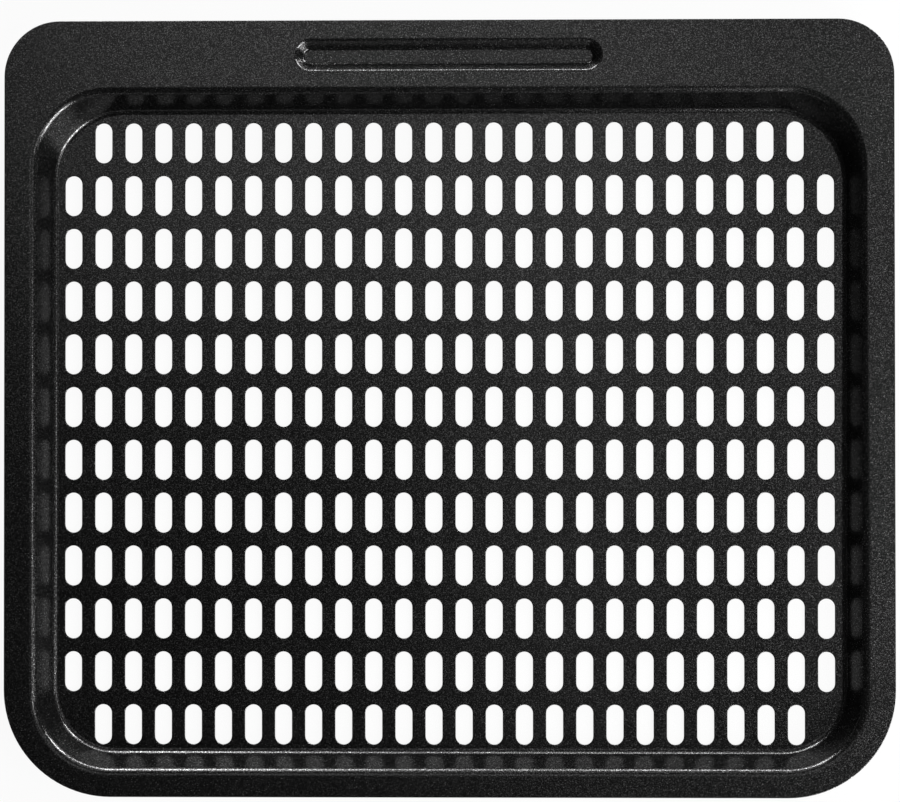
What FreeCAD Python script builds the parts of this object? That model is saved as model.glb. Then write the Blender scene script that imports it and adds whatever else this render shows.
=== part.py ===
import FreeCAD, Part
import math
import os

# Air fryer baking tray, pressed from one flat sheet of steel. Sizes are in millimetres and degrees.
# +X runs along the long side, +Y towards the edge with the finger grip, and +Z is up.
# The origin lies under the middle of the whole tray, in the plane of the floor's underside.

# Sheet
sheet = 0.8

# Slots in the floor, their long way along Y, with the plain webs left between them
slot_width = 5.1
slot_length = 12.1
web_across = 4.0
web_along = 3.9
slot_columns = 26
slot_rows = 12

# Plain strips of the flat floor, from the outermost slots to where the wall's bend begins,
# and the least distance from a slot to that bend in the corners
side_strip = 1.9
front_strip = 0.9
back_strip = 2.4
slot_clearance = 0.2

# Well: depth from the flange down to the floor, the wall's lean from upright, and the inside radius of each bend
well_depth = 10.0
well_lean = 23.5
well_floor_bend = 2.0
well_rim_bend = 2.0

# Corner radii of the well, where the wall would meet the floor and the flange without the bends
floor_front_corner = 19.0
floor_back_corner = 22.0
mouth_front_corner = 22.5
mouth_back_corner = 21.5

# Flange: flat widths outside the well, and the corners of the tray's outline
side_flange = 7.4
front_flange = 6.2
tray_front_corner = 32.0
tray_back_corner = 16.7

# Finger grip: a shallow round-ended recess in the back flange, between two plain strips
grip_floor_length = 86.0
grip_floor_width = 3.5
grip_depth = 2.5
grip_lean = 45.0
grip_floor_bend = 1.0
grip_rim_bend = 0.6
strip_before_grip = 3.9
strip_behind_grip = 5.3

# How far cutting bodies run past what they cut, and how near an edge lies to the outline it belongs to
overrun = 1.0
near = 0.01

UP = FreeCAD.Vector(0, 0, 1)


def rounded_outline(half_length, front, back, front_radius, back_radius, z):
    """A wire round a rectangle that is centred on X, with a tangent arc at each corner."""
    corners = (
        (half_length - back_radius, back - back_radius, back_radius, 0),
        (back_radius - half_length, back - back_radius, back_radius, 90),
        (front_radius - half_length, front + front_radius, front_radius, 180),
        (half_length - front_radius, front + front_radius, front_radius, 270),
    )
    arcs = [
        Part.makeCircle(radius, FreeCAD.Vector(x, y, z), UP, start, start + 90)
        for x, y, radius, start in corners
    ]
    edges = []
    for arc, following in zip(arcs, arcs[1:] + arcs[:1]):
        edges.append(arc)
        edges.append(Part.makeLine(arc.Vertexes[-1].Point, following.Vertexes[0].Point))
    return Part.Wire(edges)


def stadium(length, width, centre, heading):
    """A wire with two straight sides and two half-round ends, its long way turned to the heading."""
    way = FreeCAD.Vector(math.cos(math.radians(heading)), math.sin(math.radians(heading)), 0)
    to_end = way * ((length - width) / 2)
    first = Part.makeCircle(width / 2, centre + to_end, UP, heading - 90, heading + 90)
    second = Part.makeCircle(width / 2, centre - to_end, UP, heading + 90, heading + 270)
    return Part.Wire([
        first,
        Part.makeLine(first.Vertexes[-1].Point, second.Vertexes[0].Point),
        second,
        Part.makeLine(second.Vertexes[-1].Point, first.Vertexes[0].Point),
    ])


class Recess:
    """A recess pressed down into the sheet. Its wall leans out from the floor and has a bend at each end."""

    def __init__(self, depth, lean, floor_bend, rim_bend):
        self.depth = depth
        self.lean = math.radians(lean)
        self.floor_bend = floor_bend
        self.rim_bend = rim_bend
        half_turn = (math.pi / 2 - self.lean) / 2
        self.floor_setback = floor_bend * math.tan(half_turn)
        self.rim_setback = (rim_bend + sheet) * math.tan(half_turn)

    def run(self):
        """Distance sideways from the end of the flat floor to the start of the flat flange."""
        return self.floor_setback + self.depth * math.tan(self.lean) + self.rim_setback

    def sideways(self, rise, below):
        """How far the wall stands outside the flat floor, at a height and a depth under the top face."""
        return self.floor_setback + rise * math.tan(self.lean) + below / math.cos(self.lean)


well = Recess(well_depth, well_lean, well_floor_bend, well_rim_bend)
grip = Recess(grip_depth, grip_lean, grip_floor_bend, grip_rim_bend)

# The slot pattern sets the flat floor, the floor sets the well, and the flanges go round the well
slot_pitch_x = slot_width + web_across
slot_pitch_y = slot_length + web_along
half_pattern_x = (slot_columns * slot_pitch_x - web_across) / 2
half_pattern_y = (slot_rows * slot_pitch_y - web_along) / 2
floor_half_length = half_pattern_x + side_strip
floor_depth = 2 * half_pattern_y + front_strip + back_strip

grip_mouth_width = grip_floor_width + 2 * grip.run()
back_flange = strip_before_grip + grip_mouth_width + strip_behind_grip
tray_half_length = floor_half_length + well.run() + side_flange
tray_half_depth = (front_flange + well.run() + floor_depth + well.run() + back_flange) / 2

floor_front = front_flange + well.run() - tray_half_depth
floor_back = floor_front + floor_depth
pattern_y = floor_front + front_strip + half_pattern_y
grip_y = tray_half_depth - strip_behind_grip - grip_mouth_width / 2

floor_top = sheet
flange_top = floor_top + well_depth


def round_floor(out, front_radius, back_radius, z):
    """A rounded outline that stands a distance outside the flat floor."""
    return rounded_outline(
        floor_half_length + out, floor_front - out, floor_back + out, front_radius, back_radius, z
    )


def well_outline(rise, below):
    """The well's wall cut level at a height above the floor, on the face that lies below the top face."""
    skin = below / math.cos(well.lean)
    front_radius = floor_front_corner + (mouth_front_corner - floor_front_corner) * rise / well_depth
    back_radius = floor_back_corner + (mouth_back_corner - floor_back_corner) * rise / well_depth
    return round_floor(well.sideways(rise, below), front_radius + skin, back_radius + skin, floor_top + rise)


def grip_outline(rise, below):
    """The grip's wall cut level at a height above its floor, on the face that lies below the top face."""
    out = grip.sideways(rise, below)
    centre = FreeCAD.Vector(0, grip_y, flange_top - grip_depth + rise)
    return stadium(grip_floor_length + 2 * out, grip_floor_width + 2 * out, centre, 0)


def rounded_edges(body, outline, radius):
    """Rounds those edges of the body that lie on the outline."""
    around = outline.BoundBox
    around.enlarge(near)
    return body.makeFillet(radius, [edge for edge in body.Edges if around.isInside(edge.BoundBox)])


def pressing_tool(below, past_edge):
    """A slab over the flange with the two recesses hanging from it, their skin below the sheet's top face."""
    slab_outline = rounded_outline(
        tray_half_length + past_edge, -tray_half_depth - past_edge, tray_half_depth + past_edge,
        tray_front_corner + past_edge, tray_back_corner + past_edge, flange_top - below,
    )
    body = Part.Face(slab_outline).extrude(UP * (below + past_edge))
    for recess, outline in ((well, well_outline), (grip, grip_outline)):
        low = outline(-below, below)
        high = outline(recess.depth - below, below)
        body = body.fuse(Part.makeLoft([low, high], True, True))
        body = rounded_edges(body, high, recess.rim_bend + sheet - below)
        body = rounded_edges(body, low, recess.floor_bend + below)
    return body


def slot_cutters():
    """One upright cutter for each slot of the pattern that lies wholly on the flat floor."""
    low = -overrun
    inset = well.floor_setback + slot_clearance
    clear_floor = Part.Face(round_floor(
        -slot_clearance, floor_front_corner - inset, floor_back_corner - inset, low
    ))
    cutters = []
    for column in range(slot_columns):
        x = (column - (slot_columns - 1) / 2) * slot_pitch_x
        for row in range(slot_rows):
            y = pattern_y + (row - (slot_rows - 1) / 2) * slot_pitch_y
            slot = Part.Face(stadium(slot_length, slot_width, FreeCAD.Vector(x, y, low), 90))
            if slot.cut(clear_floor).Area < near ** 2:
                cutters.append(slot.extrude(UP * (sheet + 2 * overrun)))
    return cutters


def tray():
    """The sheet that is left between the two pressing tools, with its floor punched."""
    pressed = pressing_tool(sheet, 0).cut(pressing_tool(0, overrun))
    return pressed.cut(slot_cutters()).removeSplitter()


os.makedirs("parts", exist_ok=True)
solid = tray().Solids[0]
solid.exportStep("parts/tray.step")
box = solid.BoundBox
print("tray %.2f x %.2f x %.2f mm" % (box.XLength, box.YLength, box.ZLength))
print("volume %.0f mm3, valid %s, faces %d" % (solid.Volume, solid.isValid(), len(solid.Faces)))
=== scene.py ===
import math

import bpy
from mathutils import Matrix, Vector
from mathutils.geometry import delaunay_2d_cdt


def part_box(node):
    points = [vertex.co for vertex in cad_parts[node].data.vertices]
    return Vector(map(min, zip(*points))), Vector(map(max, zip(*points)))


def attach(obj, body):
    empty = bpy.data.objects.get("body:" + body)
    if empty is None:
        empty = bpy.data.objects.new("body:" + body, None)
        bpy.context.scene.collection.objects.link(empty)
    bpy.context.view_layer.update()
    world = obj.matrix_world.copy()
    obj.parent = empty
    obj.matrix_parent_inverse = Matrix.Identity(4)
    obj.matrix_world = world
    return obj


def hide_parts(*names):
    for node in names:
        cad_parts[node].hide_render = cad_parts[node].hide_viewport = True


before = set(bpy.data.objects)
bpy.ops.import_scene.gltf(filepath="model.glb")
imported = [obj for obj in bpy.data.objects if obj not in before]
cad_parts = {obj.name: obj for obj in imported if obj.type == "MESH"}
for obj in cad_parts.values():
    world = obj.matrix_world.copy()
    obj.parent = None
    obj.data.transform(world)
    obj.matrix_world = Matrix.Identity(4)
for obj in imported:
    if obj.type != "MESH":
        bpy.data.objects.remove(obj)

# Looks of an air fryer baking tray that is pressed from one sheet of steel and coated black.
# Sizes are in metres and angles in radians. +X is the long side, +Y the edge with the finger grip, +Z is up.
mm = 0.001
degrees = math.radians(1)

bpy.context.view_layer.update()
tray_low, tray_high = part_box("tray")

# Sheet, and how round its cut edges are
sheet = 0.8 * mm
edge_round = 0.2 * mm

# Slots in the floor, their long way along Y
slot_width = 5.1 * mm
slot_length = 12.1 * mm
web_across = 4.0 * mm
web_along = 3.9 * mm
slot_columns = 26
slot_rows = 12
front_strip = 0.9 * mm
back_strip = 2.4 * mm

# Well: depth, the wall's lean from upright, inside bend radii, and corner radii at the floor and the mouth
well_depth = 10.0 * mm
well_lean = 23.5 * degrees
well_floor_bend = 2.0 * mm
well_rim_bend = 2.0 * mm
floor_front_corner = 19.0 * mm
floor_back_corner = 22.0 * mm
mouth_front_corner = 22.5 * mm
mouth_back_corner = 21.5 * mm

# Flange
side_flange = 7.4 * mm
front_flange = 6.2 * mm
tray_front_corner = 32.0 * mm
tray_back_corner = 16.7 * mm

# Finger grip in the back flange
grip_floor_length = 86.0 * mm
grip_floor_width = 3.5 * mm
grip_depth = 2.5 * mm
grip_lean = 45.0 * degrees
grip_floor_bend = 1.0 * mm
grip_rim_bend = 0.6 * mm
strip_behind_grip = 5.3 * mm

# How finely the round parts are divided
slot_end_steps = 12
corner_steps = 24
grip_end_steps = 28
side_steps = 12
bend_steps = 8
wall_steps = 3
slot_edge_steps = 2
outline_edge_steps = 4

up = Vector((0, 0, 1))


class Recess:
    """A recess pressed down into the sheet, with a leaning wall and a bend at each end of the wall."""

    def __init__(self, depth, lean, floor_bend, rim_bend):
        self.depth = depth
        self.lean = lean
        self.floor_bend = floor_bend
        self.rim_bend = rim_bend + sheet
        half_turn = (math.pi / 2 - lean) / 2
        self.floor_setback = floor_bend * math.tan(half_turn)
        self.reach = depth * math.tan(lean)
        self.run = self.floor_setback + self.reach + self.rim_bend * math.tan(half_turn)


well = Recess(well_depth, well_lean, well_floor_bend, well_rim_bend)
grip = Recess(grip_depth, grip_lean, grip_floor_bend, grip_rim_bend)

slot_pitch_x = slot_width + web_across
slot_pitch_y = slot_length + web_along
half_pattern_y = (slot_rows * slot_pitch_y - web_along) / 2

floor_top = tray_low.z + sheet
flange_top = tray_high.z
floor_half_length = tray_high.x - side_flange - well.run
floor_front = tray_low.y + front_flange + well.run
floor_back = floor_front + front_strip + 2 * half_pattern_y + back_strip
pattern_y = floor_front + front_strip + half_pattern_y
grip_y = tray_high.y - strip_behind_grip - grip.run - grip_floor_width / 2


class Arc:
    """One rounded corner of an outline seen from above."""

    def __init__(self, x, y, radius, start, turn):
        self.x = x
        self.y = y
        self.radius = radius
        self.start = start
        self.turn = turn

    def heading(self, step, steps):
        angle = self.start + self.turn * step / steps
        return Vector((math.cos(angle), math.sin(angle), 0))

    def point(self, step, steps):
        return Vector((self.x, self.y, 0)) + self.radius * self.heading(step, steps)


def rounded_corners(half_length, front, back, front_radius, back_radius):
    """The four corners of a rectangle that is centred on X, going round from back right."""
    right_front = half_length - front_radius
    right_back = half_length - back_radius
    return [
        Arc(right_back, back - back_radius, back_radius, 0, math.pi / 2),
        Arc(-right_back, back - back_radius, back_radius, math.pi / 2, math.pi / 2),
        Arc(-right_front, front + front_radius, front_radius, math.pi, math.pi / 2),
        Arc(right_front, front + front_radius, front_radius, 3 * math.pi / 2, math.pi / 2),
    ]


def round_ends(length, width, x, y, heading):
    """The two half-round ends of a slot or of the grip."""
    reach = (length - width) / 2
    along_x = reach * math.cos(heading)
    along_y = reach * math.sin(heading)
    return [
        Arc(x + along_x, y + along_y, width / 2, heading - math.pi / 2, math.pi),
        Arc(x - along_x, y - along_y, width / 2, heading + math.pi / 2, math.pi),
    ]


class SheetMesh:
    """Points of the sheet's two faces and cut edges, each with the direction that its surface faces."""

    def __init__(self):
        self.points = []
        self.normals = []
        self.faces = []

    def add_ring(self, ring):
        """Adds a closed ring of (point, normal) and returns the numbers of its points."""
        first = len(self.points)
        for point, normal in ring:
            self.points.append(point)
            self.normals.append(normal)
        return list(range(first, len(self.points)))

    def add_face(self, corners):
        """Adds a face, turned to the side that its points face."""
        a, b, c = (self.points[corner] for corner in corners[:3])
        facing = sum((self.normals[corner] for corner in corners), Vector())
        if (b - a).cross(c - a).dot(facing) < 0:
            corners = corners[::-1]
        self.faces.append(corners)

    def join(self, ring, following):
        """A band of faces between two rings of as many points."""
        count = len(ring)
        for i in range(count):
            j = (i + 1) % count
            self.add_face([ring[i], ring[j], following[j], following[i]])

    def join_all(self, rings):
        for ring, following in zip(rings, rings[1:]):
            self.join(ring, following)

    def fill(self, outside, holes):
        """Flat faces between an outer ring and the holes in it, all of which bulge outwards everywhere."""
        numbers = []
        edges = []
        owners = []
        for owner, ring in enumerate([outside] + holes):
            first = len(numbers)
            count = len(ring)
            numbers.extend(ring)
            owners.extend([owner] * count)
            edges.extend((first + i, first + (i + 1) % count) for i in range(count))
        plan = [self.points[number].xy for number in numbers]
        inside_outline = 1
        smallest = 1e-9
        _, _, faces, origins, _, _ = delaunay_2d_cdt(plan, edges, [], inside_outline, smallest)
        for face in faces:
            corners = [origins[corner][0] for corner in face]
            owners_here = {owners[corner] for corner in corners}
            in_a_hole = len(owners_here) == 1 and 0 not in owners_here
            if not in_a_hole:
                self.add_face([numbers[corner] for corner in corners])

    def other_side(self):
        """Adds the underside of every face so far. Returns how far on the numbers of its points are."""
        shift = len(self.points)
        for i in range(shift):
            self.points.append(self.points[i] - sheet * self.normals[i])
            self.normals.append(-self.normals[i])
        for face in list(self.faces):
            self.faces.append([corner + shift for corner in reversed(face)])
        return shift

    def piece(self, name):
        mesh = bpy.data.meshes.new(name)
        mesh.from_pydata(self.points, [], self.faces)
        mesh.shade_smooth()
        mesh.normals_split_custom_set_from_vertices(self.normals)
        made = bpy.data.objects.new(name, mesh)
        bpy.context.collection.objects.link(made)
        return made


def with_sides(ring, steps, parts):
    """Adds evenly spaced points to the straight side that follows each arc of a ring."""
    per_arc = steps + 1
    fuller = []
    for i, (point, normal) in enumerate(ring):
        fuller.append((point, normal))
        if (i + 1) % per_arc == 0:
            next_point = ring[(i + 1) % len(ring)][0]
            for part in range(1, parts):
                fuller.append((point.lerp(next_point, part / parts), normal))
    return fuller


def flat_ring(arcs, steps, z):
    """A ring on a flat part, facing up."""
    return [(arc.point(step, steps) + up * z, up) for arc in arcs for step in range(steps + 1)]


def recess_rings(recess, low_arcs, high_arcs, steps, floor_z, top_z):
    """Rings up the wall of a recess, from the edge of its flat floor to the edge of the flat above it."""
    profiles = []
    for low_arc, high_arc in zip(low_arcs, high_arcs):
        for step in range(steps + 1):
            out = low_arc.heading(step, steps)
            low = low_arc.point(step, steps)
            high = high_arc.point(step, steps)
            turn = math.pi / 2 - math.atan2((high - low).dot(out), top_z - floor_z)
            setback = out * math.tan(turn / 2)
            floor_middle = low - recess.floor_bend * setback + up * (floor_z + recess.floor_bend)
            rim_middle = high + recess.rim_bend * setback + up * (top_z - recess.rim_bend)
            normals = [
                up * math.cos(turn * i / bend_steps) - out * math.sin(turn * i / bend_steps)
                for i in range(bend_steps + 1)
            ]
            profile = [(floor_middle - recess.floor_bend * normal, normal) for normal in normals]
            rim = [(rim_middle + recess.rim_bend * normal, normal) for normal in reversed(normals)]
            wall_start = profile[-1][0]
            wall_end = rim[0][0]
            for part in range(1, wall_steps):
                profile.append((wall_start.lerp(wall_end, part / wall_steps), normals[-1]))
            profiles.append(profile + rim)
    return [with_sides(list(ring), steps, side_steps) for ring in zip(*profiles)]


def add_recess(tray, recess, low_arcs, high_arcs, steps, floor_z):
    """Adds the wall and the bends of a recess, and returns its rings from the floor up to the flange."""
    profile_rings = recess_rings(recess, low_arcs, high_arcs, steps, floor_z, flange_top)
    rings = [tray.add_ring(ring) for ring in profile_rings]
    tray.join_all(rings)
    return rings


def cut_edge(tray, top_ring, shift, inward, steps):
    """Rolls a cut edge from a ring on the top face down to the same ring on the underside."""
    rings = [top_ring]
    top_turns = [math.pi / 2 * step / steps for step in range(1, steps + 1)]
    bottom_turns = [math.pi - angle for angle in reversed(top_turns)]
    for drop, turns in ((edge_round, top_turns), (sheet - edge_round, bottom_turns)):
        for angle in turns:
            ring = []
            for number, way in zip(top_ring, inward):
                normal = Vector((way.x * math.sin(angle), way.y * math.sin(angle), math.cos(angle)))
                centre = tray.points[number] - drop * up
                ring.append((centre + edge_round * normal, normal))
            rings.append(tray.add_ring(ring))
    rings.append([number + shift for number in top_ring])
    tray.join_all(rings)


def tray_sheet():
    """The whole pressed sheet: flange, well, finger grip, slots and cut edges."""
    tray = SheetMesh()

    def well_corners(out, front_radius, back_radius):
        return rounded_corners(
            floor_half_length + out, floor_front - out, floor_back + out, front_radius, back_radius
        )

    low = well_corners(well.floor_setback, floor_front_corner, floor_back_corner)
    high = well_corners(well.floor_setback + well.reach, mouth_front_corner, mouth_back_corner)
    well_rings = add_recess(tray, well, low, high, corner_steps, floor_top)

    def grip_ends(out):
        return round_ends(grip_floor_length + 2 * out, grip_floor_width + 2 * out, 0, grip_y, 0)

    low = grip_ends(grip.floor_setback)
    high = grip_ends(grip.floor_setback + grip.reach)
    grip_rings = add_recess(tray, grip, low, high, grip_end_steps, flange_top - grip_depth)
    tray.fill(grip_rings[0], [])

    outline = rounded_corners(
        tray_high.x - edge_round, tray_low.y + edge_round, tray_high.y - edge_round,
        tray_front_corner - edge_round, tray_back_corner - edge_round,
    )
    outline_points = with_sides(flat_ring(outline, corner_steps, flange_top), corner_steps, side_steps)
    outline_ring = tray.add_ring(outline_points)
    tray.fill(outline_ring, [well_rings[-1], grip_rings[-1]])

    slot_rings = []
    for column in range(slot_columns):
        for row in range(slot_rows):
            if column in (0, slot_columns - 1) and row in (0, slot_rows - 1):
                continue
            x = (column - (slot_columns - 1) / 2) * slot_pitch_x
            y = pattern_y + (row - (slot_rows - 1) / 2) * slot_pitch_y
            ends = round_ends(slot_length + 2 * edge_round, slot_width + 2 * edge_round, x, y, math.pi / 2)
            slot_rings.append(tray.add_ring(flat_ring(ends, slot_end_steps, floor_top)))
    tray.fill(well_rings[0], slot_rings)

    shift = tray.other_side()
    slot_inward = [
        -arc.heading(step, slot_end_steps)
        for arc in round_ends(slot_length, slot_width, 0, 0, math.pi / 2)
        for step in range(slot_end_steps + 1)
    ]
    for ring in slot_rings:
        cut_edge(tray, ring, shift, slot_inward, slot_edge_steps)
    outward = with_sides(
        [(arc.heading(step, corner_steps), None) for arc in outline for step in range(corner_steps + 1)],
        corner_steps, side_steps,
    )
    cut_edge(tray, outline_ring, shift, [way.normalized() for way, _ in outward], outline_edge_steps)
    return tray.piece("tray_sheet")


class Value:
    """A number or a colour that varies over a surface, so that a mask can be written as an expression."""

    def __init__(self, finish, output):
        self.finish = finish
        self.output = output

    def maths(self, operation, first, second):
        return self.finish.node("ShaderNodeMath", {"operation": operation}, {0: first, 1: second})

    def __add__(self, other):
        return self.maths("ADD", self, other)

    def __radd__(self, other):
        return self.maths("ADD", other, self)

    def __rmul__(self, other):
        return self.maths("MULTIPLY", other, self)


class Finish:
    """The nodes of one material or of the world."""

    def __init__(self, owner):
        owner.use_nodes = True
        self.tree = owner.node_tree
        self.tree.nodes.clear()

    def node(self, kind, settings, inputs, output=0):
        """Adds a node: its settings, then the numbers or links of its sockets. Returns one of its outputs."""
        made = self.tree.nodes.new(kind)
        for name, setting in settings.items():
            setattr(made, name, setting)
        for name, given in inputs.items():
            if isinstance(given, Value):
                self.tree.links.new(given.output, made.inputs[name])
            else:
                made.inputs[name].default_value = given
        if made.outputs:
            return Value(self, made.outputs[output])
        return None

    def ramp(self, value, low, high, start, end):
        """A smooth step of a value, from start at low to end at high."""
        return self.node(
            "ShaderNodeMapRange", {"interpolation_type": "SMOOTHSTEP"},
            {"Value": value, "From Min": low, "From Max": high, "To Min": start, "To Max": end},
        )

    def blend(self, factor, first, second):
        """A colour between two colours."""
        colour_factor = 0
        colour_first = 6
        colour_second = 7
        colour_result = 2
        return self.node(
            "ShaderNodeMix", {"data_type": "RGBA"},
            {colour_factor: factor, colour_first: first, colour_second: second}, colour_result,
        )


def grey(level):
    return (level, level, level, 1)


def nonstick_coat():
    """Satin black non-stick coat with fine bright flakes in it, a faint unevenness and a few specks."""
    grain_fineness = 2800.0
    patch_fineness = 45.0
    speck_fineness = 1300.0
    black = grey(0.034)
    bright_flake = grey(0.30)
    bright_speck = grey(0.32)
    dim_at_low_angles = grey(0.5)
    metal_share = 0.95
    smoothest = 0.17

    material = bpy.data.materials.new("nonstick_coat")
    coat = Finish(material)
    place = coat.node("ShaderNodeTexCoord", {}, {}, "Object")

    def noise(fineness, detail, roughness):
        return coat.node("ShaderNodeTexNoise", {}, {
            "Vector": place, "Scale": fineness, "Detail": detail, "Roughness": roughness,
        })

    grain = noise(grain_fineness, 2.0, 0.6)
    patches = noise(patch_fineness, 3.0, 0.5)
    speck_field = noise(speck_fineness, 0.0, 0.5)
    specks = coat.ramp(speck_field, 0.84, 0.88, 0.0, 1.0)
    flakes = coat.ramp(grain, 0.45, 0.80, 0.0, 1.0)
    colour = coat.blend(flakes, black, bright_flake)
    colour = coat.blend(specks, colour, bright_speck)
    unevenness = coat.ramp(patches, 0.35, 0.65, 0.0, 1.0)
    roughness = smoothest + 0.02 * unevenness + 0.04 * grain + 0.08 * flakes
    bump = coat.node("ShaderNodeBump", {}, {"Strength": 0.06, "Distance": 0.0001, "Height": grain}, "Normal")
    shader = coat.node("ShaderNodeBsdfPrincipled", {}, {
        "Base Color": colour, "Metallic": metal_share, "Roughness": roughness, "Normal": bump,
        "Specular Tint": dim_at_low_angles,
    })
    coat.node("ShaderNodeOutputMaterial", {}, {"Surface": shader})
    return material


def table_top():
    """White floor that keeps the tray's shadow. In the coat's reflections it glows by itself as a painted
    reflection, brighter in front and dim behind.
    """
    paper = grey(0.8)
    seen_share = 0.93
    fade_reach = 0.12
    sideways_share = 0.45
    backwards_share = 0.9
    painted_glow_in_front = 0.55
    painted_glow_behind = 0.08
    half = 20.0
    drop = -0.2 * mm

    material = bpy.data.materials.new("white_table")
    finish = Finish(material)

    def ray(kind):
        return finish.node("ShaderNodeLightPath", {}, {}, kind)

    def place_along(axis):
        place = finish.node("ShaderNodeTexCoord", {}, {}, "Object")
        return finish.node("ShaderNodeSeparateXYZ", {}, {"Vector": place}, axis)

    plain = finish.node("ShaderNodeBsdfDiffuse", {}, {"Color": paper})
    white = finish.node("ShaderNodeEmission", {}, {"Color": grey(1.0), "Strength": 1.0})
    dark = finish.node("ShaderNodeEmission", {}, {"Color": grey(0.0), "Strength": 1.0})
    seen = seen_share * (ray("Is Camera Ray") + ray("Is Transmission Ray"))
    top = finish.node("ShaderNodeMixShader", {}, {0: seen, 1: plain, 2: white})
    # Painted reflection: to glossy rays the floor glows white by itself, brighter in front and dim behind.
    backwards = sideways_share * place_along("X") + backwards_share * place_along("Y")
    painted_glow_level = finish.ramp(backwards, -fade_reach, fade_reach, painted_glow_in_front, painted_glow_behind)
    painted_reflection = finish.node("ShaderNodeMixShader", {}, {0: painted_glow_level, 1: dark, 2: white})
    top = finish.node("ShaderNodeMixShader", {}, {0: ray("Is Glossy Ray"), 1: top, 2: painted_reflection})
    clear = finish.node("ShaderNodeBsdfTransparent", {}, {})
    below = finish.node("ShaderNodeNewGeometry", {}, {}, "Backfacing")
    either = finish.node("ShaderNodeMixShader", {}, {0: below, 1: top, 2: clear})
    finish.node("ShaderNodeOutputMaterial", {}, {"Surface": either})

    corners = [(-half, -half, drop), (half, -half, drop), (half, half, drop), (-half, half, drop)]
    mesh = bpy.data.meshes.new("white_table")
    mesh.from_pydata(corners, [], [(0, 1, 2, 3)])
    mesh.materials.append(material)
    table = bpy.data.objects.new("white_table", mesh)
    bpy.context.collection.objects.link(table)


def studio_air():
    """The room round the tray: white to the camera and dim to everything else."""
    world = bpy.data.worlds.new("studio")
    bpy.context.scene.world = world
    air = Finish(world)
    dim = grey(0.03)
    seen = air.node("ShaderNodeLightPath", {}, {}, "Is Camera Ray")
    colour = air.blend(seen, dim, grey(1.0))
    background = air.node("ShaderNodeBackground", {}, {"Color": colour, "Strength": 1.0})
    air.node("ShaderNodeOutputWorld", {}, {"Surface": background})


def soft_box(name, round_from_x, up_from_level, distance, width, height, level):
    """A soft rectangular lamp that faces the tray. Level 1 looks as bright as white paper."""
    azimuth = round_from_x * degrees
    elevation = up_from_level * degrees
    lamp = bpy.data.lights.new(name, "AREA")
    lamp.shape = "RECTANGLE"
    lamp.size = width
    lamp.size_y = height
    lamp.energy = level * 4 * width * height
    made = bpy.data.objects.new(name, lamp)
    way = Vector((
        math.cos(elevation) * math.cos(azimuth), math.cos(elevation) * math.sin(azimuth), math.sin(elevation)
    ))
    made.location = way * distance
    made.rotation_mode = "QUATERNION"
    made.rotation_quaternion = way.to_track_quat("Z", "Y")
    made.visible_camera = False
    bpy.context.collection.objects.link(made)


def camera():
    """Looks down at the tray from almost straight above."""
    place = Vector((16.28, -7.27, 816.44)) * mm
    aim = Vector((0.34, 2.23, 0.80)) * mm
    roll = -0.037 * degrees
    data = bpy.data.cameras.new("camera")
    data.sensor_width = 36.0
    data.lens = 107.96
    data.clip_start = 0.01
    data.clip_end = 100.0
    made = bpy.data.objects.new("camera", data)
    back = (place - aim).normalized()
    right = Vector((0, 1, 0)).cross(back).normalized()
    axes = Matrix((right, back.cross(right), back)).transposed() @ Matrix.Rotation(roll, 3, "Z")
    made.matrix_world = Matrix.Translation(place) @ axes.to_4x4()
    bpy.context.collection.objects.link(made)
    bpy.context.scene.camera = made


camera()
studio_air()
table_top()

# Lamps, each by the way to it in degrees round from +X and up, its distance, width, height and level
ceiling_distance = 1.4
side_distance = 0.7
soft_box("ceiling", 65, 75, ceiling_distance, 0.90, 0.64, 0.12)
soft_box("ceiling_back", 105, 74, ceiling_distance, 0.60, 0.50, 0.28)
soft_box("ceiling_right", 10, 72, ceiling_distance, 0.50, 0.50, 0.02)
soft_box("ceiling_middle", 0, 87, ceiling_distance, 0.50, 0.12, 0.25)
soft_box("right_high", 18, 60, side_distance, 0.28, 0.14, 0.5)
soft_box("front_right_middle", 348, 60, side_distance, 0.16, 0.14, 2.1)
soft_box("front_right", 322, 30, side_distance, 0.36, 0.30, 9.5)
soft_box("front_right_low", 322, 10, side_distance, 0.40, 0.16, 2.0)
soft_box("front_right_wide", 302, 28, side_distance, 0.14, 0.24, 10.0)
soft_box("front_right_high", 305, 55, side_distance, 0.25, 0.18, 0.3)
soft_box("front_low", 270, 8, side_distance, 0.60, 0.16, 0.2)
soft_box("back_right", 46, 15, side_distance, 0.26, 0.12, 29.0)
soft_box("back_gap", 59, 18, side_distance, 0.12, 0.20, 6.5)
soft_box("back_between", 76, 8, side_distance, 0.24, 0.14, 8.0)
soft_box("back_low", 92, 8, side_distance, 0.18, 0.14, 6.5)
soft_box("back_left", 109, 13, side_distance, 0.22, 0.20, 14.0)
soft_box("back_high", 90, 38, side_distance, 0.50, 0.20, 0.5)

bpy.context.scene.view_settings.view_transform = "Standard"

tray_piece = tray_sheet()
tray_piece.data.materials.append(nonstick_coat())
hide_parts("tray")
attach(tray_piece, "root")
